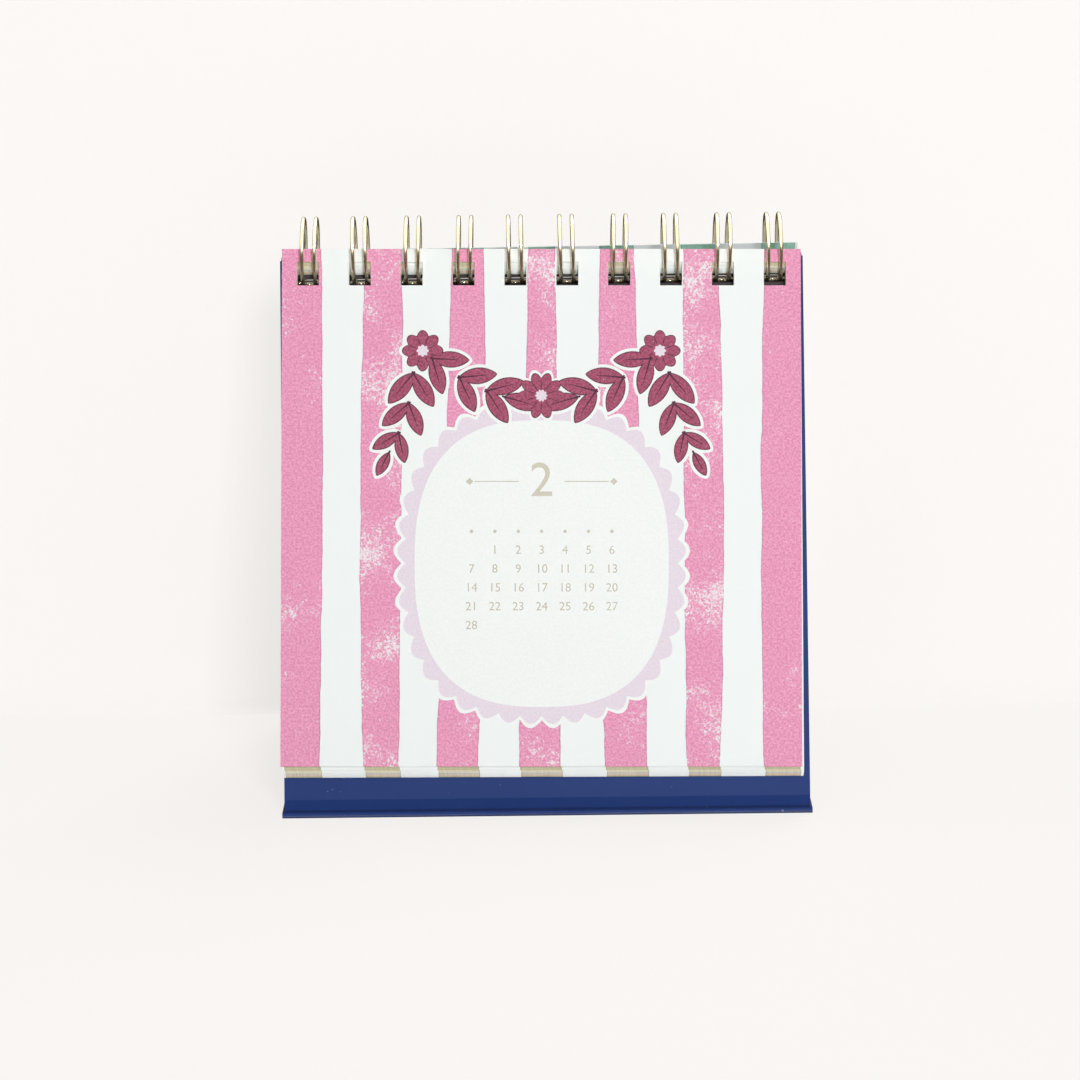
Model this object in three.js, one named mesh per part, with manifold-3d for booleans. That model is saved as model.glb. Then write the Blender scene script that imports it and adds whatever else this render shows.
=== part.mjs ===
// Standing desk calendar: square month leaves turned over a twin loop wire on a folded board easel.
// Millimetres, +Z up, the front looks towards -Y. The origin is the middle of the easel's underside.
import * as THREE from 'three';
import { mergeVertices } from 'three/addons/utils/BufferGeometryUtils.js';
import Module from 'manifold-3d';

// Overall sizes
const leafWidth = 127;
const leafHeight = 126.5;
const leanAngle = THREE.MathUtils.degToRad(17);

// Board easel
const boardThickness = 2;
const baseThickness = 1.5;
const baseFlare = 0.6;
const easelBesideLeaf = 0.75;
const easelWidth = leafWidth + 2 * easelBesideLeaf;
const panelBelowLeaf = 5.8;
const panelLength = leafHeight + panelBelowLeaf;
const coverPaper = 0.6;
const panelTopBelowRing = 2.5;
const hingeGap = 2.6;
const lipReach = 0.5;
const lipRadius = 0.7;
const creaseWidth = 1.6;
const creaseDepth = 0.9;
const boardHoleMargin = 2;

// Punched holes
const loopPitch = 12.7;
const loopCount = Math.floor(leafWidth / loopPitch);
const holeWidth = 5.4;
const holeHeight = 5.75;
const leafHoleMargin = 3.2;

// Twin loop wire
const wireDiameter = 1;
const ringRadius = 8.1;
const pairSpacing = 3.06;
const rootBendRadius = 1.4;
const rootLineAngle = 6;
const tipAngle = 3;
const cutEndLength = 2;
const wireSides = 8;
const stepsRound = 20;
const stepsTip = 6;
const stepsCorner = 3;

// Card leaves
const leafThickness = 0.25;
const coverThickness = 0.5;
const leafGap = 0.03;
const boardGap = 0.3;
const hangGap = 0.3;
const seatGap = 0.3;
const secondLeafAir = 0.15;
const frontLeafAir = 0.4;
const turnedLeafStandOff = 1.35;
const frontLeafTurn = 0.63;
const secondLeafTurn = 0.5;
const blockLeafTurn = 0.4;
const turnedLeafTurn = 0.37;

const wasm = await Module();
wasm.setup();

const navy = new THREE.MeshStandardMaterial({ color: 0x253c76, roughness: 0.62, metalness: 0 });
const champagne = new THREE.MeshStandardMaterial({ color: 0xd8c9a0, roughness: 0.22, metalness: 1 });
const pinkCard = new THREE.MeshStandardMaterial({ color: 0xe898bc, roughness: 0.8, metalness: 0 });
const oliveCard = new THREE.MeshStandardMaterial({ color: 0xb9b482, roughness: 0.8, metalness: 0 });
const greenCard = new THREE.MeshStandardMaterial({ color: 0x7daa91, roughness: 0.8, metalness: 0 });
const creamCard = new THREE.MeshStandardMaterial({ color: 0xf0f1ea, roughness: 0.8, metalness: 0 });

// Between drawn geometry and the solids that are cut and joined
function toSolid(geometry) {
  const bare = geometry.clone();
  bare.deleteAttribute('normal');
  bare.deleteAttribute('uv');
  const merged = mergeVertices(bare, 1e-4);
  return new wasm.Manifold(new wasm.Mesh({
    numProp: 3,
    vertProperties: new Float32Array(merged.attributes.position.array),
    triVerts: new Uint32Array(merged.index.array),
  }));
}

function toGeometry(solid) {
  const mesh = solid.getMesh();
  const geometry = new THREE.BufferGeometry();
  geometry.setAttribute('position', new THREE.BufferAttribute(mesh.vertProperties, 3));
  geometry.setIndex(new THREE.BufferAttribute(mesh.triVerts, 1));
  return geometry;
}

// The ring's centre stands above the base board, the fold and the leaning panel
const cosLean = Math.cos(leanAngle);
const sinLean = Math.sin(leanAngle);
const panelEnd = panelTopBelowRing + panelLength;
const ringHeight = baseThickness + hingeGap + panelEnd * cosLean;

// Centres of the loops and holes across the width
const loopCentres = [];
for (let i = 0; i < loopCount; i += 1) {
  loopCentres.push((i - (loopCount - 1) / 2) * loopPitch);
}

// A point of the front panel's own frame in the side view: up the slope, and out from its inner face
function onPanel(up, out, side) {
  return new THREE.Vector2(
    side * (-up * sinLean + out * cosLean),
    ringHeight + up * cosLean + out * sinLean,
  );
}

// A punch goes through a sheet along its own Z axis, with Y up the sheet
function punchHoles(sheet, thickness, height, places) {
  const punch = new THREE.BoxGeometry(holeWidth, height, thickness * 3);
  let solid = sheet;
  for (const place of places) {
    solid = solid.subtract(toSolid(punch.clone().applyMatrix4(place)));
  }
  return solid;
}

// Base board: a rounded lip at both folds and a crease along the middle of the underside
function baseSection(reach) {
  const half = creaseWidth / 2;
  const lip = reach - lipRadius;
  const upper = baseThickness - lipRadius;
  const shape = new THREE.Shape();
  shape.moveTo(-half, 0);
  shape.lineTo(0, creaseDepth);
  shape.lineTo(half, 0);
  shape.absarc(lip, lipRadius, lipRadius, -Math.PI / 2, 0, false);
  shape.absarc(lip, upper, lipRadius, 0, Math.PI / 2, false);
  shape.absarc(-lip, upper, lipRadius, Math.PI / 2, Math.PI, false);
  shape.absarc(-lip, lipRadius, lipRadius, Math.PI, Math.PI * 1.5, false);
  shape.closePath();
  return shape;
}

// Leaning board of one side, with the cover paper that runs on from its lower end into the base
function panelSection(side) {
  const paperInner = boardThickness - coverPaper;
  const fold = onPanel(-panelEnd, paperInner, side).x;
  const foldOutside = fold + side * coverPaper;
  return new THREE.Shape([
    onPanel(-panelTopBelowRing, boardThickness, side),
    onPanel(-panelEnd, boardThickness, side),
    new THREE.Vector2(foldOutside, baseThickness + coverPaper),
    new THREE.Vector2(foldOutside, baseThickness / 2),
    new THREE.Vector2(fold, baseThickness / 2),
    onPanel(-panelEnd, paperInner, side),
    onPanel(-panelEnd, 0, side),
    onPanel(-panelTopBelowRing, 0, side),
  ]);
}

// Side view axes (y, z) and depth x become the world's axes
function extrudeAcross(section, width) {
  const geometry = new THREE.ExtrudeGeometry(section, {
    depth: width,
    bevelEnabled: false,
    curveSegments: 4,
  });
  geometry.translate(0, 0, -width / 2);
  geometry.applyMatrix4(new THREE.Matrix4().set(0, 0, 1, 0, 1, 0, 0, 0, 0, 1, 0, 0, 0, 0, 0, 1));
  return toSolid(geometry);
}

function makeEasel() {
  const reach = onPanel(-panelEnd, boardThickness, 1).x + lipReach;
  let solid = extrudeAcross(baseSection(reach), easelWidth + 2 * baseFlare);
  // The board's holes end where the wire rests on their lower edges
  const holeTop = -panelTopBelowRing - boardHoleMargin;
  const holeFoot = -ringRadius - wireDiameter / 2 - seatGap;
  for (const side of [-1, 1]) {
    const centre = onPanel((holeTop + holeFoot) / 2, boardThickness / 2, side);
    const slope = new THREE.Matrix4().makeRotationX(Math.PI / 2 + side * leanAngle);
    const places = loopCentres.map(
      (x) => new THREE.Matrix4().makeTranslation(x, centre.x, centre.y).multiply(slope),
    );
    const panel = extrudeAcross(panelSection(side), easelWidth);
    solid = solid.add(punchHoles(panel, boardThickness, holeTop - holeFoot, places));
  }
  return toGeometry(solid);
}

// The wire's route on its own unrolled cylinder: x across, and the angle from straight down,
// counted over the back, the top and the front to the tips
class BindingWire extends THREE.Curve {
  constructor() {
    super();
    this.spans = [];
    const half = pairSpacing / 2;
    const bend = THREE.MathUtils.radToDeg(rootBendRadius / ringRadius);
    const tipBend = THREE.MathUtils.radToDeg(half / ringRadius);
    const rise = rootLineAngle + bend;
    const turn = 360 - tipAngle - tipBend;
    const line = (steps, x0, a0, x1, a1) => {
      this.spans.push({ steps, at: (t) => [x0 + (x1 - x0) * t, a0 + (a1 - a0) * t] });
    };
    const arc = (steps, x, a, rx, ra, from, to) => {
      this.spans.push({
        steps,
        at: (t) => {
          const angle = from + (to - from) * t;
          return [x + rx * Math.cos(angle), a + ra * Math.sin(angle)];
        },
      });
    };
    const quarter = Math.PI / 2;
    const first = loopCentres[0] - half - rootBendRadius;
    line(1, first - cutEndLength, rootLineAngle, first, rootLineAngle);
    loopCentres.forEach((x, i) => {
      const left = x - half;
      const right = x + half;
      arc(stepsCorner, left - rootBendRadius, rise, rootBendRadius, bend, -quarter, 0);
      line(stepsRound, left, rise, left, turn);
      arc(stepsTip, x, turn, half, tipBend, Math.PI, 0);
      line(stepsRound, right, turn, right, rise);
      arc(stepsCorner, right + rootBendRadius, rise, rootBendRadius, bend, Math.PI, Math.PI + quarter);
      const start = right + rootBendRadius;
      const end = i + 1 < loopCount ? loopCentres[i + 1] - half - rootBendRadius : start + cutEndLength;
      line(1, start, rootLineAngle, end, rootLineAngle);
    });
    this.steps = this.spans.reduce((sum, span) => sum + span.steps, 0);
  }

  getPoint(t, target = new THREE.Vector3()) {
    let place = THREE.MathUtils.clamp(t, 0, 1) * this.steps;
    let index = 0;
    while (index < this.spans.length - 1 && place > this.spans[index].steps) {
      place -= this.spans[index].steps;
      index += 1;
    }
    const span = this.spans[index];
    const [x, degrees] = span.at(place / span.steps);
    const angle = THREE.MathUtils.degToRad(degrees);
    return target.set(x, ringRadius * Math.sin(angle), ringHeight - ringRadius * Math.cos(angle));
  }

  // Stations follow the spans, so the tight bends get as many steps as they need
  getPointAt(t, target) {
    return this.getPoint(t, target);
  }

  getTangentAt(t, target) {
    return this.getTangent(t, target);
  }

  getSpacedPoints(divisions) {
    return this.getPoints(divisions);
  }
}

function makeWire() {
  const section = new THREE.Shape();
  for (let i = 0; i < wireSides; i += 1) {
    const angle = ((i + 0.5) / wireSides) * Math.PI * 2;
    const point = [Math.cos(angle) * wireDiameter / 2, Math.sin(angle) * wireDiameter / 2];
    if (i === 0) {
      section.moveTo(...point);
    } else {
      section.lineTo(...point);
    }
  }
  section.closePath();
  const route = new BindingWire();
  return new THREE.ExtrudeGeometry(section, {
    steps: route.steps,
    extrudePath: route,
    bevelEnabled: false,
  });
}

// A square card leaf, its top edge's middle at the origin, hanging down and facing +Z of its own frame
function makeLeaf(thickness) {
  const card = new THREE.BoxGeometry(leafWidth, leafHeight, thickness);
  card.translate(0, -leafHeight / 2, 0);
  const holeMiddle = -leafHoleMargin - holeHeight / 2;
  const places = loopCentres.map((x) => new THREE.Matrix4().makeTranslation(x, holeMiddle, 0));
  return toGeometry(punchHoles(toSolid(card), thickness, holeHeight, places));
}

const calendar = new THREE.Group();

function add(name, geometry, material, parent = calendar) {
  const mesh = new THREE.Mesh(geometry, material);
  mesh.name = name;
  parent.add(mesh);
  return mesh;
}

// Side frames: +Y goes up the slope and +Z out from the ring's centre
function sideFrame(lean, front) {
  const frame = new THREE.Group();
  frame.position.z = ringHeight;
  frame.rotation.order = 'ZYX';
  frame.rotation.set(Math.PI / 2 - lean, 0, front ? 0 : Math.PI);
  calendar.add(frame);
  return frame;
}

// A leaf hangs on the wire by its holes' upper edges, so one further out hangs higher on the ring
function hangLeaf(name, thickness, material, frame, out, turn) {
  const insideOfWire = -Math.sqrt((ringRadius - wireDiameter / 2) ** 2 - (out + thickness / 2) ** 2);
  // Its margin has this much play inside the ring, which limits how far it can turn in its plane
  const play = -2 * insideOfWire - leafHoleMargin - 2 * hangGap;
  const angle = Math.min(THREE.MathUtils.degToRad(turn), play / leafWidth);
  const lowestHole = (leafWidth / 2 - leafHoleMargin) * Math.sin(angle);
  const leaf = add(name, makeLeaf(thickness), material, frame);
  leaf.position.set(0, insideOfWire + hangGap + lowestHole + leafHoleMargin, out);
  leaf.rotation.z = -angle;
  return leaf;
}

add('easel_stand', makeEasel(), navy);
add('binding_wire', makeWire(), champagne);

// Front stack, from the board outwards: December first, February in front
const frontFrame = sideFrame(leanAngle, true);
const blockLeaves = [
  'leaf_december', 'leaf_november', 'leaf_october', 'leaf_september', 'leaf_august',
  'leaf_july', 'leaf_june', 'leaf_may', 'leaf_april',
];
let out = boardThickness + boardGap + leafThickness / 2;
for (const name of blockLeaves) {
  hangLeaf(name, leafThickness, creamCard, frontFrame, out, blockLeafTurn);
  out += leafThickness + leafGap;
}
out += secondLeafAir;
hangLeaf('leaf_march', leafThickness, oliveCard, frontFrame, out, secondLeafTurn);
out += leafThickness + frontLeafAir;
hangLeaf('leaf_february', leafThickness, pinkCard, frontFrame, out, frontLeafTurn);

// Turned leaves behind: the cover lies on the board, January stands off at the top and leans on it below
const backFrame = sideFrame(leanAngle, false);
const coverOut = boardThickness + boardGap + coverThickness / 2;
hangLeaf('leaf_cover', coverThickness, creamCard, backFrame, coverOut, 0);
const turnedOut = coverOut + coverThickness / 2 + leafGap + leafThickness / 2 + turnedLeafStandOff;
const turnedLean = leanAngle - Math.atan(turnedLeafStandOff / leafHeight);
const turnedFrame = sideFrame(turnedLean, false);
hangLeaf('leaf_january', leafThickness, greenCard, turnedFrame, turnedOut, turnedLeafTurn);

export default calendar;
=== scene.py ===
import math

import bmesh
import bpy
from mathutils import Matrix, Vector


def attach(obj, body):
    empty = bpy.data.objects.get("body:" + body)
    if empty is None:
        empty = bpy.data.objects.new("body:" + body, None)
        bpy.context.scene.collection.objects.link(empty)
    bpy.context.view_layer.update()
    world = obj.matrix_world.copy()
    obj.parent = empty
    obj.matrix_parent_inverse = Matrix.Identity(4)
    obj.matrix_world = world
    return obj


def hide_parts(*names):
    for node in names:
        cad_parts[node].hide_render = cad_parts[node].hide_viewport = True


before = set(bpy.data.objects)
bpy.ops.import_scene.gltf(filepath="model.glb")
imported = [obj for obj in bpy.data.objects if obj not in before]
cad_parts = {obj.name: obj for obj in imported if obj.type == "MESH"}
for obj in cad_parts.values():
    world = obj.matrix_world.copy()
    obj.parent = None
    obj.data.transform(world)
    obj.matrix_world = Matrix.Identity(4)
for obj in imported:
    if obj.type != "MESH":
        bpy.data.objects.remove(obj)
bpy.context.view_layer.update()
MM = 0.001


# Photographer's table and wall.
# A pale floor turns up into a wall close behind the calendar, which catches its soft shadow.
# The wall is seen from the front only and blocks no light, so the calendar's back stays lit.
class Value:
    """A shader socket that takes part in sums: each operator adds one Math node."""

    def __init__(self, tree, socket):
        self.tree = tree
        self.socket = socket

    def math(self, operation, *others, clamp=False):
        node = self.tree.nodes.new("ShaderNodeMath")
        node.operation = operation
        node.use_clamp = clamp
        for place, value in enumerate((self, *others)):
            if isinstance(value, Value):
                self.tree.links.new(value.socket, node.inputs[place])
            else:
                node.inputs[place].default_value = value
        return Value(self.tree, node.outputs[0])

    def __add__(self, other):
        return self.math("ADD", other)

    def __sub__(self, other):
        return self.math("SUBTRACT", other)

    def __rsub__(self, other):
        return (self * -1.0) + other

    def __mul__(self, other):
        return self.math("MULTIPLY", other)

    __radd__ = __add__
    __rmul__ = __mul__

    def least(self, other):
        return self.math("MINIMUM", other)

    def most(self, other):
        return self.math("MAXIMUM", other)

    def edge(self, softness):
        """0 below zero and 1 above it, with a soft step between."""
        return (self * (1.0 / softness)).math("ADD", 0.5, clamp=True)


class Finish:
    """The node tree of one material."""

    def __init__(self, name):
        self.material = bpy.data.materials.new(name)
        self.material.use_nodes = True
        self.tree = self.material.node_tree
        self.shader = self.tree.nodes["Principled BSDF"]

    def node(self, kind, settings=None, sockets=None, output=0):
        made = self.tree.nodes.new("ShaderNode" + kind)
        for name, value in (settings or {}).items():
            setattr(made, name, value)
        for name, value in (sockets or {}).items():
            if isinstance(value, Value):
                self.tree.links.new(value.socket, made.inputs[name])
            else:
                made.inputs[name].default_value = value
        return Value(self.tree, made.outputs[output])

    def axes(self, place):
        """The three parts of a place, each as a value."""
        made = self.tree.nodes.new("ShaderNodeSeparateXYZ")
        self.tree.links.new(place.socket, made.inputs[0])
        return [Value(self.tree, socket) for socket in made.outputs]

    def mix(self, factor, first, second):
        """A colour mix: both colours are tuples or sockets."""
        return self.node("Mix", {"data_type": "RGBA"}, {0: factor, 6: first, 7: second}, output=2)

    def noise(self, place, scale, detail=2.0, roughness=0.5):
        return self.node("TexNoise", None, {"Vector": place, "Scale": scale, "Detail": detail,
                                            "Roughness": roughness})

    def bump(self, height, strength, distance):
        return self.node("Bump", None, {"Height": height, "Strength": strength, "Distance": distance})

    def set(self, **sockets):
        for name, value in sockets.items():
            target = self.shader.inputs[name.replace("_", " ")]
            if isinstance(value, Value):
                self.tree.links.new(value.socket, target)
            else:
                target.default_value = value
        return self.material


def srgb(red, green, blue):
    """A colour as seen on screen, 0 to 255, in the linear numbers that shaders use."""
    shares = [part / 255.0 for part in (red, green, blue)]
    linear = [share / 12.92 if share < 0.0404 else ((share + 0.055) / 1.055) ** 2.4 for share in shares]
    return (*linear, 1.0)


# The table, the wall and the lamps are placed in metres, the calendar's own pieces in millimetres
backdrop_colour = srgb(253, 250, 247)
wall_glow = 0.76
floor_glow = 0.81
wall_place = 0.047
wall_bend = 0.004
bend_steps = 8
stage_reach = 2.5
floor_level = 0.0001

stage_mesh = bmesh.new()
profile = [(-stage_reach, 0)]
for step in range(bend_steps + 1):
    angle = math.pi / 2 * step / bend_steps
    depth = wall_place - wall_bend + wall_bend * math.sin(angle)
    profile.append((depth, wall_bend - wall_bend * math.cos(angle)))
profile.append((wall_place, stage_reach))
rail = [stage_mesh.verts.new((-stage_reach, depth, height)) for depth, height in profile]
edges = [stage_mesh.edges.new(pair) for pair in zip(rail, rail[1:])]
swept = bmesh.ops.extrude_edge_only(stage_mesh, edges=edges)["geom"]
bmesh.ops.translate(stage_mesh, verts=[v for v in swept if isinstance(v, bmesh.types.BMVert)],
                    vec=(2 * stage_reach, 0, 0))
bmesh.ops.recalc_face_normals(stage_mesh, faces=stage_mesh.faces)
if any(face.calc_center_median().z < floor_level and face.normal.z < 0 for face in stage_mesh.faces):
    bmesh.ops.reverse_faces(stage_mesh, faces=stage_mesh.faces)
for name in ("photo_floor", "photo_wall"):
    part = stage_mesh.copy()
    is_wall = name == "photo_wall"
    drop = [face for face in part.faces if (face.calc_center_median().z > floor_level) != is_wall]
    bmesh.ops.delete(part, geom=drop, context="FACES")
    mesh = bpy.data.meshes.new(name)
    part.to_mesh(mesh)
    part.free()
    mesh.shade_smooth()
    piece = bpy.data.objects.new(name, mesh)
    bpy.context.scene.collection.objects.link(piece)
    paper = Finish(name)
    paper.set(Base_Color=backdrop_colour, Roughness=0.9)
    rays = paper.tree.nodes.new("ShaderNodeLightPath")
    glow = paper.tree.nodes.new("ShaderNodeEmission")
    glow.inputs["Color"].default_value = backdrop_colour
    blend = paper.tree.nodes.new("ShaderNodeMixShader")
    seen = Value(paper.tree, rays.outputs["Is Camera Ray"]) * (wall_glow if is_wall else floor_glow)
    paper.tree.links.new(seen.socket, blend.inputs[0])
    paper.tree.links.new(paper.shader.outputs[0], blend.inputs[1])
    paper.tree.links.new(glow.outputs[0], blend.inputs[2])
    clear = paper.tree.nodes.new("ShaderNodeBsdfTransparent")
    sides = paper.tree.nodes.new("ShaderNodeMixShader")
    geometry = paper.tree.nodes.new("ShaderNodeNewGeometry")
    paper.tree.links.new(geometry.outputs["Backfacing"], sides.inputs[0])
    paper.tree.links.new(blend.outputs[0], sides.inputs[1])
    paper.tree.links.new(clear.outputs[0], sides.inputs[2])
    paper.tree.links.new(sides.outputs[0], paper.tree.nodes["Material Output"].inputs[0])
    mesh.materials.append(paper.material)
    piece.visible_glossy = False
    if is_wall:
        piece.visible_diffuse = False
        piece.visible_shadow = False
stage_mesh.free()

daylight = (0.97, 0.99, 1.0, 1)
daylight_strength = 0.2
dark_room = (0.05, 0.035, 0.02, 1)
bright_ceiling = (1.25, 1.22, 1.15, 1)
ceiling_start = 0.16
ceiling_blur = 0.3
world = bpy.data.worlds.new("studio")
bpy.context.scene.world = world
world.use_nodes = True
tree = world.node_tree
room_light = tree.nodes["Background"]
room_light.inputs["Color"].default_value = daylight
room_light.inputs["Strength"].default_value = daylight_strength
seen_light = tree.nodes.new("ShaderNodeBackground")
seen_light.inputs["Color"].default_value = backdrop_colour
world_rays = tree.nodes.new("ShaderNodeLightPath")
# Bright metal mirrors a dark room up to just above the horizon, and a bright ceiling over it
mirrored = tree.nodes.new("ShaderNodeBackground")
room_place = tree.nodes.new("ShaderNodeTexCoord")
room_split = tree.nodes.new("ShaderNodeSeparateXYZ")
tree.links.new(room_place.outputs["Generated"], room_split.inputs[0])
ceiling = (Value(tree, room_split.outputs["Z"]) - ceiling_start).edge(ceiling_blur)
room_tone = tree.nodes.new("ShaderNodeMix")
room_tone.data_type = "RGBA"
tree.links.new(ceiling.socket, room_tone.inputs[0])
room_tone.inputs[6].default_value = dark_room
room_tone.inputs[7].default_value = bright_ceiling
tree.links.new(room_tone.outputs[2], mirrored.inputs["Color"])
light_mix = tree.nodes.new("ShaderNodeMixShader")
tree.links.new(world_rays.outputs["Is Glossy Ray"], light_mix.inputs[0])
tree.links.new(room_light.outputs[0], light_mix.inputs[1])
tree.links.new(mirrored.outputs[0], light_mix.inputs[2])
world_mix = tree.nodes.new("ShaderNodeMixShader")
tree.links.new(world_rays.outputs["Is Camera Ray"], world_mix.inputs[0])
tree.links.new(light_mix.outputs[0], world_mix.inputs[1])
tree.links.new(seen_light.outputs[0], world_mix.inputs[2])
tree.links.new(world_mix.outputs[0], tree.nodes["World Output"].inputs[0])
calendar_middle = Vector((0, 0, 0.07))


def softbox(name, place, size, power):
    """A square lamp that is turned to the middle of the calendar."""
    lamp = bpy.data.lights.new(name, "AREA")
    lamp.shape = "SQUARE"
    lamp.size = size
    lamp.energy = power
    piece = bpy.data.objects.new(name, lamp)
    piece.location = place
    piece.rotation_euler = (calendar_middle - Vector(place)).to_track_quat("-Z", "Y").to_euler()
    bpy.context.scene.collection.objects.link(piece)


softbox("window_light", (0.27, -1.5, 0.8), 0.35, 16.9)
softbox("top_light", (0.35, 0.75, 1.4), 0.8, 9)

# Board easel.
# One folded piece: greyboard panels wrapped in navy cover paper, which alone crosses the folds.
# The wrap rounds every edge, and the punch leaves the board's square holes slightly crushed.
lean = math.radians(17)
ring_height = 133.01
loop_pitch = 12.7
loop_count = 10
board_hole_half = 3.4
board_hole_foot = 13.4
board_middle = 1.3
base_top = 1.3
base_half = 39.3
crease_height = 1.75
lip_reach = 41.2
lip_height = 0.62
hole_top = 4.5
hole_drop = 2.45
wrap_radius = 0.28


def copy_of(node, name):
    """A merged copy of a CAD node's mesh, for a piece that stands for it."""
    shape = bmesh.new()
    shape.from_mesh(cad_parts[node].data)
    bmesh.ops.remove_doubles(shape, verts=shape.verts, dist=1e-6)
    bmesh.ops.dissolve_limit(shape, angle_limit=math.radians(1), verts=shape.verts, edges=shape.edges)
    mesh = bpy.data.meshes.new(name)
    shape.to_mesh(mesh)
    shape.free()
    piece = bpy.data.objects.new(name, mesh)
    bpy.context.scene.collection.objects.link(piece)
    return piece


def here(finish):
    """The piece's own Object coordinates, in millimetres."""
    place = finish.node("TexCoord", output=3)
    return finish.node("Mapping", {"vector_type": "TEXTURE"}, {"Vector": place, "Scale": (MM, MM, MM)})


cover_paper = Finish("navy_cover_paper")
spot = here(cover_paper)
cloud = cover_paper.noise(spot, 0.03, 3)
grain = cover_paper.noise(spot, 3.2, 4, 0.6)
dust = (cover_paper.noise(spot, 0.9, 2) - 0.765).edge(0.02)
shade = cover_paper.mix(cloud, srgb(14, 42, 104), srgb(24, 54, 118))
shade = cover_paper.mix(grain * 0.35, shade, srgb(36, 64, 124))
shade = cover_paper.mix(dust * 0.55, shade, srgb(150, 162, 190))
width_place, depth_place, height_place = cover_paper.axes(spot)
side = depth_place.math("ABSOLUTE")
above_ring = height_place - ring_height
panel_depth = side * math.cos(lean) + above_ring * math.sin(lean)
below_ring = side * math.sin(lean) - above_ring * math.cos(lean)
# Painted shade: the easel's inner faces and the board round its holes are painted dark brown-black, where
# shade falls
from_hole = (width_place + (loop_count - 1) / 2 * loop_pitch).math("PINGPONG", loop_pitch / 2)
hole_painted_shade = (board_hole_half - from_hole).edge(0.8) * (board_hole_foot - below_ring).edge(0.8)
within = (base_half - side).edge(0.4) * (height_place - base_top).edge(0.3)
inside_painted_shade = ((board_middle - panel_depth).edge(0.4) * within).most(hole_painted_shade)
# Painted shade darkens the crease above the base; the lip's edge gets a lighter line, partly edge wear and
# partly a painted highlight
crease_painted_shade = (0.3 - (height_place - crease_height).math("ABSOLUTE")).edge(0.3)
shade = cover_paper.mix(crease_painted_shade * 0.6, shade, srgb(10, 22, 60))
inside_shade_tone = cover_paper.mix(grain, srgb(52, 42, 35), srgb(72, 60, 51))
# Painted shade: dark brown-black mixed in inside the easel and round the holes
shade = cover_paper.mix(inside_painted_shade * 0.92, shade, inside_shade_tone)
# The lip's lighter line is partly edge wear and partly a painted highlight
worn = (side - lip_reach).edge(0.3) * (0.22 - (height_place - lip_height).math("ABSOLUTE")).edge(0.15)
shade = cover_paper.mix(worn * (0.05 + cloud * 0.4), shade, srgb(140, 146, 160))
cover_paper.set(Base_Color=shade, Roughness=0.5 + grain * 0.12, Specular_IOR_Level=0.2,
                Normal=cover_paper.bump(grain, 0.12, 0.02 * MM))

easel = copy_of("easel_stand", "easel_wrapped_board")
# The front board's holes close in above the wire, so that no light shows through the leaves' holes
down_front = Vector((0, -math.sin(lean), -math.cos(lean)))
for vertex in easel.data.vertices:
    from_ring = vertex.co / MM - Vector((0, 0, ring_height))
    if from_ring.y < 0 and abs(from_ring.yz.dot(down_front.yz) - hole_top) < 0.2:
        vertex.co += down_front * hole_drop * MM
easel.data.materials.append(cover_paper.material)
wrap = easel.modifiers.new("wrapped_edges", "BEVEL")
wrap.width = wrap_radius * MM
wrap.segments = 3
wrap.limit_method = "ANGLE"
wrap.angle_limit = math.radians(30)
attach(easel, "easel")
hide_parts("easel_stand")

# Card leaves.
# Thin uncoated card, printed on one side with wavy edged stripes and left white on the other.
# Each leaf keeps its CAD shape; its stripes run in the leaf's own frame, so they turn with it.
leaf_width = 127.0
leaf_height = 126.5
card_white = srgb(242, 247, 246)

# Left and right edges of each stripe, in mm from the leaf's middle, at its top, middle and foot
stripes = [
    ((-64.0, -64.0, -64.0), (-53.8, -53.4, -54.0)),
    ((-43.1, -44.2, -43.4), (-34.0, -34.1, -34.9)),
    ((-22.0, -23.6, -25.6), (-14.2, -13.6, -15.4)),
    ((-3.2, -4.4, -5.4), (3.4, 4.2, 4.7)),
    ((14.4, 13.9, 15.5), (22.8, 24.4, 25.9)),
    ((34.7, 34.9, 35.3), (43.1, 44.5, 43.5)),
    ((54.6, 53.7, 54.2), (64.0, 64.0, 64.0)),
]
chalky_stripes = (1, 3, 5)
ink_depth = 0.04


def leaf_frame(mesh, leaf_lean, turn, back):
    """Middle of a leaf's upper edge on its outer face: X across, Y up and Z out of the leaf."""
    turned = (Matrix.Rotation(math.pi if back else 0, 4, "Z")
              @ Matrix.Rotation(math.pi / 2 - leaf_lean, 4, "X")
              @ Matrix.Rotation(-math.radians(turn), 4, "Z"))
    flat = [turned.inverted() @ v.co for v in mesh.vertices]
    low = Vector([min(p[i] for p in flat) for i in range(3)])
    high = Vector([max(p[i] for p in flat) for i in range(3)])
    return turned @ Matrix.Translation(((low.x + high.x) / 2, high.y, high.z))


def on_leaf(finish, place):
    """Object coordinates turned into the leaf's own frame, in millimetres."""
    spot = finish.node("TexCoord", output=3)
    return finish.node("Mapping", {"vector_type": "TEXTURE"}, {
        "Vector": spot, "Location": place.to_translation(), "Rotation": place.to_euler("XYZ"),
        "Scale": (MM, MM, MM)})


def along(across, values, down):
    """A stripe's edge, curved through its places at the top, middle and foot of the leaf."""
    top, middle, foot = values
    bend = 2 * (top + foot) - 4 * middle
    slope = foot - top - bend
    return (down * bend + slope) * down + top


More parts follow.
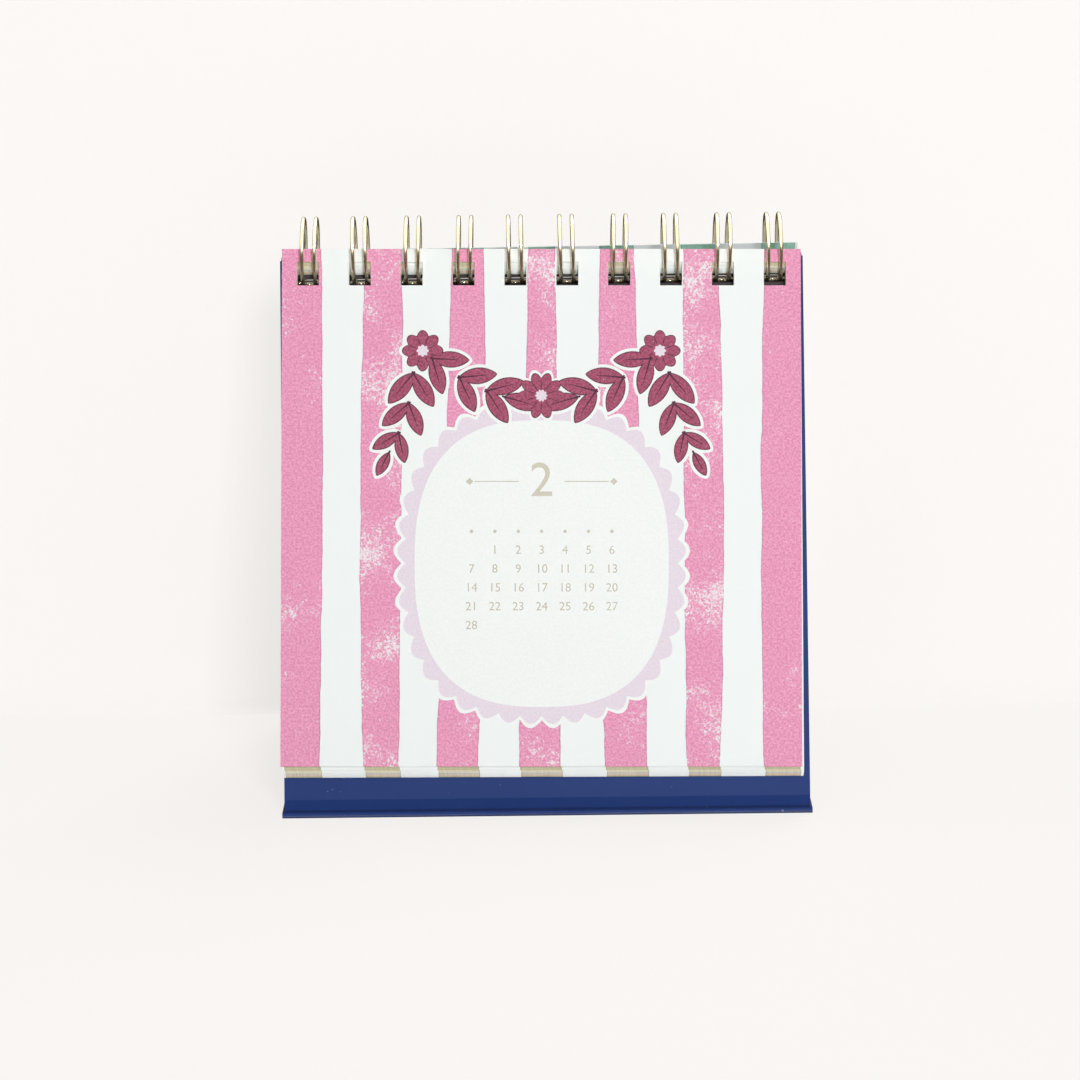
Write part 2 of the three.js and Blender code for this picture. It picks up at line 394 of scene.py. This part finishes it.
def striped_card(name, place, inks, thickness, back, chalk, margin):
    """Uncoated card with a striped print on its outer or, for a turned leaf, its inner face."""
    dark, light, outline = inks
    card = Finish(name)
    spot = on_leaf(card, place)
    across, up, out = card.axes(spot)
    if back:
        across = across * -1.0
    down = up * (-1.0 / leaf_height)
    wave = (card.noise(spot, 0.07, 3, 0.6) - 0.5) * 1.1 + (card.noise(spot, 0.9, 2) - 0.5) * 0.16
    across = across + wave
    inside = None
    strength = None
    for number, (left, right) in enumerate(stripes):
        stripe = (across - along(across, left, down)).least(along(across, right, down) - across)
        inside = stripe if inside is None else inside.most(stripe)
        if number in chalky_stripes:
            worn = stripe.edge(0.3)
            strength = worn if strength is None else strength.most(worn)
    inside = inside.least(leaf_width / 2 - margin - across.math("ABSOLUTE"))
    printed = inside.edge(0.12)
    border = printed * (1.0 - (inside - 0.16).edge(0.2))
    if back:
        face = (out * -1.0 - (thickness - ink_depth)).edge(0.02)
    else:
        face = (out + ink_depth).edge(0.02)
    grain = card.noise(spot, 2.6, 3, 0.65)
    mottle = card.noise(spot, 0.12, 3)
    speck = (card.noise(spot, 1.9, 2, 0.55) - 0.5) * 4.2 + 0.5
    tone = card.mix(speck.least(1.0).most(0.0), dark, light)
    tone = card.mix(mottle * 0.25, tone, light)
    tone = card.mix(border * 0.75, tone, outline)
    flake = card.node("TexNoise", None, {"Vector": spot, "Scale": 1.15, "Detail": 5.0, "Roughness": 0.72,
                                         "Distortion": 1.3})
    patch = card.noise(spot, 0.075, 2)
    bare = (flake + patch * 0.55 + strength * 0.075 - 1.0 + chalk).edge(0.045)
    paper_tone = card.mix(grain * 0.5, card_white, srgb(235, 240, 238))
    shade = card.mix(bare * 0.8, tone, paper_tone)
    shade = card.mix(printed * face, paper_tone, shade)
    card.set(Base_Color=shade, Roughness=0.62 + grain * 0.1, Specular_IOR_Level=0.3,
             Normal=card.bump(grain, 0.1, 0.02 * MM))
    return card.material


# Darker and lighter grain of each ink, and the fine line along its stripes' edges
pinks = (srgb(218, 132, 170), srgb(241, 168, 199), srgb(176, 100, 140))
olives = (srgb(184, 178, 142), srgb(200, 195, 162), srgb(140, 134, 88))
greens = (srgb(128, 166, 144), srgb(150, 184, 164), srgb(80, 126, 100))
mints = (srgb(138, 190, 166), srgb(168, 212, 190), srgb(96, 142, 116))
golds = (srgb(212, 203, 176), srgb(224, 216, 192), srgb(186, 164, 112))
blues = (srgb(168, 182, 198), srgb(184, 196, 210), srgb(110, 132, 162))
corals = (srgb(214, 176, 160), srgb(224, 188, 172), srgb(182, 110, 92))

# Inks of each leaf, its turn on the wire in degrees, and whether it hangs at the back
prints = {
    "leaf_february": (pinks, 0.63, False),
    "leaf_march": (olives, 0.5, False),
    "leaf_april": (golds, 0.4, False),
    "leaf_may": (golds, 0.4, False),
    "leaf_june": (blues, 0.4, False),
    "leaf_july": (golds, 0.4, False),
    "leaf_august": (corals, 0.4, False),
    "leaf_september": (golds, 0.4, False),
    "leaf_october": (olives, 0.4, False),
    "leaf_november": (corals, 0.4, False),
    "leaf_december": (greens, 0.4, False),
    "leaf_january": (mints, 0.37, True),
    "leaf_cover": (pinks, 0.0, True),
}
leaf_thickness = 0.25
cover_thickness = 0.5
# The front leaf's print runs off the card and is chalkier than the others
side_margin, bled_margin = 0.7, -1.0
chalk, front_chalk = -0.03, 0.055
stand_off = 1.35
january_slide = 0.85
places = {}
for node, (inks, turn, back) in prints.items():
    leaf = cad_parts[node]
    leaf_lean = lean
    if node == "leaf_january":
        # It is held a little higher than in CAD, so that its green edge shows as in the photo
        leaf_lean = lean - math.atan(stand_off / leaf_height)
        leaf = copy_of(node, "january_card")
        up_slope = Vector((0, -math.sin(leaf_lean), math.cos(leaf_lean)))
        leaf.data.transform(Matrix.Translation(up_slope * january_slide * MM))
        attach(leaf, "january")
        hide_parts(node)
    places[node] = leaf_frame(leaf.data, leaf_lean, turn, back)
    is_front = node == "leaf_february"
    thickness = cover_thickness if node == "leaf_cover" else leaf_thickness
    leaf.data.materials.clear()
    leaf.data.materials.append(striped_card(node + "_card", places[node], inks, thickness, back,
                                            front_chalk if is_front else chalk,
                                            bled_margin if is_front else side_margin))

# Printed plaque of the front leaf.
# A white rounded oblong with a lilac scalloped band, printed over the stripes in opaque ink.
# Each colour is a flat shape a few hundredths of a millimetre above the one below it.
front = places["leaf_february"]
overlap_lift = 0.0003


def flat_piece(name, outlines, lift, material):
    """Filled outlines on the front leaf, each given as points in mm from its upper edge's middle."""
    shape = bmesh.new()
    for number, outline in enumerate(outlines):
        ring = [shape.verts.new((x, y, lift + number * overlap_lift)) for x, y in outline]
        shape.faces.new(ring)
    shape.normal_update()
    bmesh.ops.triangulate(shape, faces=shape.faces)
    shape.normal_update()
    for face in shape.faces:
        if face.normal.z < 0:
            face.normal_flip()
    bmesh.ops.transform(shape, matrix=front @ Matrix.Scale(MM, 4), verts=shape.verts)
    mesh = bpy.data.meshes.new(name)
    shape.to_mesh(mesh)
    shape.free()
    mesh.materials.append(material)
    piece = bpy.data.objects.new(name, mesh)
    bpy.context.scene.collection.objects.link(piece)
    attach(piece, "february")


def ink(name, light, dark, flecks=0.0):
    """Opaque ink with the grain of the card showing through."""
    finish = Finish(name)
    spot = on_leaf(finish, front)
    grain = finish.noise(spot, 2.6, 3, 0.65)
    speck = (finish.noise(spot, 1.9, 2, 0.55) - 0.5) * 3.4 + 0.5
    tone = finish.mix(speck.least(1.0).most(0.0), dark, light)
    if flecks:
        bare = (finish.noise(spot, 1.7, 5, 0.72) + finish.noise(spot, 0.2, 2) * 0.4 - flecks).edge(0.05)
        tone = finish.mix(bare * 0.6, tone, card_white)
    finish.set(Base_Color=tone, Roughness=0.62 + grain * 0.1, Specular_IOR_Level=0.3,
               Normal=finish.bump(grain, 0.1, 0.02 * MM))
    return finish.material


plaque_middle = (0.1, -77.0)
plaque_half = (31.0, 35.0)
plaque_power = 2.6
scallops = 40
scallop_depth = 2.0
band = 2.2
rim = 1.0


def plaque_outline(grow, wave=0.0, count=480):
    """A rounded oblong, grown by some millimetres and with waves for its scallops."""
    points = []
    for i in range(count):
        angle = 2 * math.pi * i / count
        c, s = math.cos(angle), math.sin(angle)
        reach = (abs(c) ** plaque_power + abs(s) ** plaque_power) ** (-1 / plaque_power)
        x, y = c * reach * plaque_half[0], s * reach * plaque_half[1]
        away = grow + wave * abs(math.sin(angle * scallops / 2))
        stretch = 1 + away / math.hypot(x, y)
        points.append((plaque_middle[0] + x * stretch, plaque_middle[1] + y * stretch))
    return points


white_ink = ink("white_ink", srgb(245, 248, 246), srgb(238, 243, 241))
lilac_ink = ink("lilac_ink", srgb(234, 223, 232), srgb(226, 214, 226), flecks=1.02)
burgundy_ink = ink("burgundy_ink", srgb(178, 90, 118), srgb(140, 60, 88), flecks=0.93)
plum_line = ink("plum_line", srgb(92, 44, 66), srgb(74, 36, 56))

flat_piece("plaque_ground", [plaque_outline(band + rim, scallop_depth)], 0.015, white_ink)
flat_piece("plaque_scallops", [plaque_outline(band, scallop_depth)], 0.03, lilac_ink)
flat_piece("plaque_field", [plaque_outline(0.0)], 0.045, white_ink)

# Leaf garland over the plaque.
# Two leafy sprays hang from rosettes to a middle flower, with a short spray below each rosette.
# Every leaf has a thin plum outline and a white halo that keeps it clear of the stripes.
garland_half = 29.0
garland_top = -25.0
garland_sag = 12.5
middle_gap = 9.0
swag_curve = 0.69
tail_start = 2.2
tail_top = 3.0
tail_swing = 6.0
tail_drop = 22.0
leaf_size = (9.4, 3.9)
leaf_spread = 0.62
leaf_points = 28
petal_depth = 0.26
rosette_points = 120
side_flower = (4.9, 8)
middle_flower = (5.6, 10)
middle_flower_lift = 1.5
halo_width = 0.95
outline_width = 0.17
fill_inset = -0.06
vein_width = 0.5
heart_radius = 1.5


def sprig_leaf(x, y, angle, size, grow):
    """A pointed leaf that starts at its stalk."""
    points = []
    c, s = math.cos(angle), math.sin(angle)
    for i in range(leaf_points):
        t = 2 * math.pi * i / leaf_points
        along_leaf = (1 + math.cos(t)) * leaf_size[0] * size / 2 + math.cos(t) * grow
        over_leaf = math.sin(t) * (leaf_size[1] * size / 2 * (0.3 + 0.7 * abs(math.sin(t))) + grow)
        points.append((x + along_leaf * c - over_leaf * s, y + along_leaf * s + over_leaf * c))
    return points


def vein(x, y, angle, size, width):
    """A tapering line from a leaf's stalk towards its tip."""
    c, s = math.cos(angle), math.sin(angle)
    ends = ((-0.6, width / 2), (leaf_size[0] * size * 0.72, width / 8))
    points = [(x + far * c - w * s, y + far * s + w * c) for far, w in ends]
    return points + [(x + far * c + w * s, y + far * s - w * c) for far, w in reversed(ends)]


def rosette(x, y, radius, petals, grow):
    """A flower with round petals."""
    points = []
    for i in range(rosette_points):
        angle = 2 * math.pi * i / rosette_points
        reach = radius * (1 - petal_depth + petal_depth * abs(math.cos(angle * petals / 2))) + grow
        points.append((x + math.cos(angle) * reach, y + math.sin(angle) * reach))
    return points


def spray(path, count, sizes):
    """Stalk points of leaf pairs along a path, as (x, y, angle, size), and a leaf at its tip."""
    leaves = []
    for i in range(count):
        x, y = path((i + 0.35) / count)
        ahead = path((i + 0.45) / count)
        heading = math.atan2(ahead[1] - y, ahead[0] - x)
        size = sizes[0] + (sizes[1] - sizes[0]) * i / count
        for turn in (-leaf_spread, leaf_spread):
            leaves.append((x, y, heading + turn, size))
    before, tip = path(0.97), path(1.0)
    leaves.append((*tip, math.atan2(tip[1] - before[1], tip[0] - before[0]), sizes[1]))
    return leaves


garland_leaves = []
swag_span = garland_half - middle_gap
for side in (-1, 1):
    garland_leaves += spray(lambda t: (side * (garland_half - t * swag_span),
                                       garland_top - garland_sag * (1 - (1 - t * swag_curve) ** 2)),
                            3, (0.95, 1.0))
    garland_leaves += spray(lambda t: (side * (garland_half + tail_start + tail_swing * t * t),
                                       garland_top - tail_top - tail_drop * t),
                            3, (1.0, 0.66))
flowers = [(side * garland_half, garland_top, *side_flower) for side in (-1, 1)]
flowers.append((0, garland_top - garland_sag + middle_flower_lift, *middle_flower))
for name, grow, lift, material in (("garland_halo", halo_width, 0.06, white_ink),
                                   ("garland_outline", outline_width, 0.08, plum_line),
                                   ("garland_fill", fill_inset, 0.1, burgundy_ink)):
    outlines = [sprig_leaf(*leaf, grow) for leaf in garland_leaves]
    outlines += [rosette(*flower, grow) for flower in flowers]
    flat_piece(name, outlines, lift, material)
details = [vein(*leaf, vein_width) for leaf in garland_leaves]
for x, y, radius, petals in flowers:
    for i in range(petals):
        angle = 2 * math.pi * (i + 0.5) / petals
        c, s = math.cos(angle), math.sin(angle)
        near, far = 1.9, radius * 0.72
        corners = ((near, -0.12), (far, -0.05), (far, 0.05), (near, 0.12))
        details.append([(x + reach * c - half_width * s, y + reach * s + half_width * c)
                        for reach, half_width in corners])
flat_piece("garland_veins", details, 0.12, plum_line)
hearts = [rosette(x, y, heart_radius, petals, 0) for x, y, radius, petals in flowers]
flat_piece("flower_hearts", hearts, 0.13, lilac_ink)

# Foil stamped date grid.
# Plain day numbers of a 28 day month in champagne foil, under a numeral between two fine rules.
# The foil is partly metallic, so the numbers shine or fade a little with the light.
foil = Finish("champagne_foil")
foil_spot = on_leaf(foil, front)
foil_grain = foil.noise(foil_spot, 6.0, 2)
foil.set(Base_Color=foil.mix(foil_grain, srgb(158, 151, 136), srgb(177, 171, 157)), Metallic=0.3,
         Roughness=0.42 + foil_grain * 0.15)
column_pitch = 5.71
row_pitch = 4.59
first_row = -73.8
number_height = 2.15
month_row = -57.0
month_height = 8.6
type_size = 1.38
dot_row = -69.2
dot_radius = 0.42
dot_sides = 16
rule_middle = 11.0
rule_half = 5.4
rule_half_width = 0.12
lozenge_middle = 17.6
lozenge_half = 0.9
foil_lift = 0.055


def stamp(name, text, x, y, height):
    """A number in foil, its middle at x, y on the front leaf."""
    letters = bpy.data.curves.new(name, "FONT")
    letters.body = text
    letters.align_x = "CENTER"
    letters.align_y = "CENTER"
    letters.size = height * type_size
    letters.resolution_u = 4
    made = bpy.data.objects.new(name, letters)
    bpy.context.scene.collection.objects.link(made)
    mesh = bpy.data.meshes.new_from_object(made)
    bpy.data.objects.remove(made)
    mesh.transform(front @ Matrix.Scale(MM, 4) @ Matrix.Translation((x, y, foil_lift)))
    return mesh


grid = bmesh.new()
for day in range(1, 29):
    x = plaque_middle[0] + (day % 7 - 3) * column_pitch
    y = first_row - (day // 7) * row_pitch
    number = stamp("day", str(day), x, y, number_height)
    grid.from_mesh(number)
    bpy.data.meshes.remove(number)
title = stamp("month_number", "2", plaque_middle[0], month_row, month_height)
grid.from_mesh(title)
bpy.data.meshes.remove(title)
grid_mesh = bpy.data.meshes.new("foil_date_grid")
grid.to_mesh(grid_mesh)
grid.free()
grid_mesh.materials.append(foil.material)
numbers = bpy.data.objects.new("foil_date_grid", grid_mesh)
bpy.context.scene.collection.objects.link(numbers)
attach(numbers, "february")

rules = []
for side in (-1, 1):
    x = plaque_middle[0] + side * rule_middle
    low, high = month_row - rule_half_width, month_row + rule_half_width
    rules.append([(x - rule_half, low), (x + rule_half, low), (x + rule_half, high), (x - rule_half, high)])
    x = plaque_middle[0] + side * lozenge_middle
    rules.append([(x - lozenge_half, month_row), (x, month_row - lozenge_half),
                  (x + lozenge_half, month_row), (x, month_row + lozenge_half)])
for column in range(7):
    x = plaque_middle[0] + (column - 3) * column_pitch
    turns = [2 * math.pi * i / dot_sides for i in range(dot_sides)]
    rules.append([(x + dot_radius * math.cos(a), dot_row + dot_radius * math.sin(a)) for a in turns])
flat_piece("foil_rules_and_dots", rules, foil_lift, foil.material)

# Twin loop wire.
# One run of plated steel wire, bent to ten double loops and closed round the punched edges.
# Its tips meet the root line at the bottom of the rings, inside the easel.
wire_radius = 0.5
ring_radius = 8.1
pair_spacing = 3.06
root_bend = 1.4
root_angle = 6.0
tip_angle = 3.0
cut_end = 2.0
corner_steps = 8
round_steps = 64
tip_steps = 16

route = []


def wire_point(x, degrees, shift=0.0):
    """A point of the wire at an angle from the ring's lowest place; a shift sways the ring's top."""
    angle = math.radians(degrees)
    rise = (1 - math.cos(angle)) / 2
    route.append(Vector((x + shift * rise, ring_radius * math.sin(angle),
                         ring_height - ring_radius * math.cos(angle))) * MM)


half = pair_spacing / 2
bend_angle = math.degrees(root_bend / ring_radius)
tip_bend = math.degrees(half / ring_radius)
rise_angle = root_angle + bend_angle
turn_angle = 360 - tip_angle - tip_bend
sway = (0.3, -0.25, 0.2, 0.35, -0.2, -0.3, 0.25, -0.1, 0.3, -0.2)
for loop in range(loop_count):
    centre = (loop - (loop_count - 1) / 2) * loop_pitch
    left, right = centre - half, centre + half
    if loop == 0:
        wire_point(left - root_bend - cut_end, root_angle)
    for i in range(corner_steps + 1):
        a = -math.pi / 2 + math.pi / 2 * i / corner_steps
        wire_point(left - root_bend + root_bend * math.cos(a), rise_angle + bend_angle * math.sin(a))
    for i in range(1, round_steps):
        wire_point(left, rise_angle + (turn_angle - rise_angle) * i / round_steps, sway[loop])
    for i in range(tip_steps + 1):
        a = math.pi - math.pi * i / tip_steps
        wire_point(centre + half * math.cos(a), turn_angle + tip_bend * math.sin(a))
    for i in range(1, round_steps):
        wire_point(right, turn_angle + (rise_angle - turn_angle) * i / round_steps, sway[loop])
    for i in range(corner_steps + 1):
        a = math.pi + math.pi / 2 * i / corner_steps
        wire_point(right + root_bend + root_bend * math.cos(a), rise_angle + bend_angle * math.sin(a))
    if loop == loop_count - 1:
        wire_point(right + root_bend + cut_end, root_angle)

line = bpy.data.curves.new("binding_wire_run", "CURVE")
line.dimensions = "3D"
line.bevel_depth = wire_radius * MM
line.bevel_resolution = 3
line.use_fill_caps = True
spline = line.splines.new("POLY")
spline.points.add(len(route) - 1)
for point, place in zip(spline.points, route):
    point.co = (*place, 1)
drawn = bpy.data.objects.new("binding_wire_run", line)
bpy.context.scene.collection.objects.link(drawn)
wire_mesh = bpy.data.meshes.new_from_object(drawn)
bpy.data.objects.remove(drawn)
wire_mesh.shade_smooth()

plating = Finish("champagne_plating")
metal_spot = here(plating)
draw = plating.noise(metal_spot, 1.2, 3)
plating.set(Base_Color=plating.mix(draw, srgb(250, 236, 200), srgb(255, 246, 222)), Metallic=0.92,
            Roughness=0.14 + draw * 0.08)
wire_mesh.materials.append(plating.material)
wire = bpy.data.objects.new("twin_loop_wire", wire_mesh)
bpy.context.scene.collection.objects.link(wire)
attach(wire, "easel")
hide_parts("binding_wire")

# Camera.
# It looks almost square on to the front leaf, from 2.3 degrees below its normal, as in the photo.
# The picture is 1080 pixels wide; the leaf's middle stands 1.3 pixels right of and 33 above its centre.
pixel = 0.2441
camera_distance = 866.0
aim_offset = (-1.3 * pixel, -33.0 * pixel)
camera_tip = 2.3
field_of_view = 17.3

lens = bpy.data.cameras.new("photo_camera")
lens.sensor_fit = "HORIZONTAL"
lens.angle = math.radians(field_of_view)
camera = bpy.data.objects.new("photo_camera", lens)
bpy.context.scene.collection.objects.link(camera)
aim = front @ (Vector((aim_offset[0], -leaf_height / 2 + aim_offset[1], 0)) * MM)
tilted = front.to_3x3().to_4x4() @ Matrix.Rotation(math.radians(camera_tip), 4, "X")
camera.matrix_world = Matrix.Translation(aim) @ tilted @ Matrix.Translation((0, 0, camera_distance * MM))
bpy.context.scene.camera = camera
bpy.context.scene.view_settings.view_transform = "Standard"
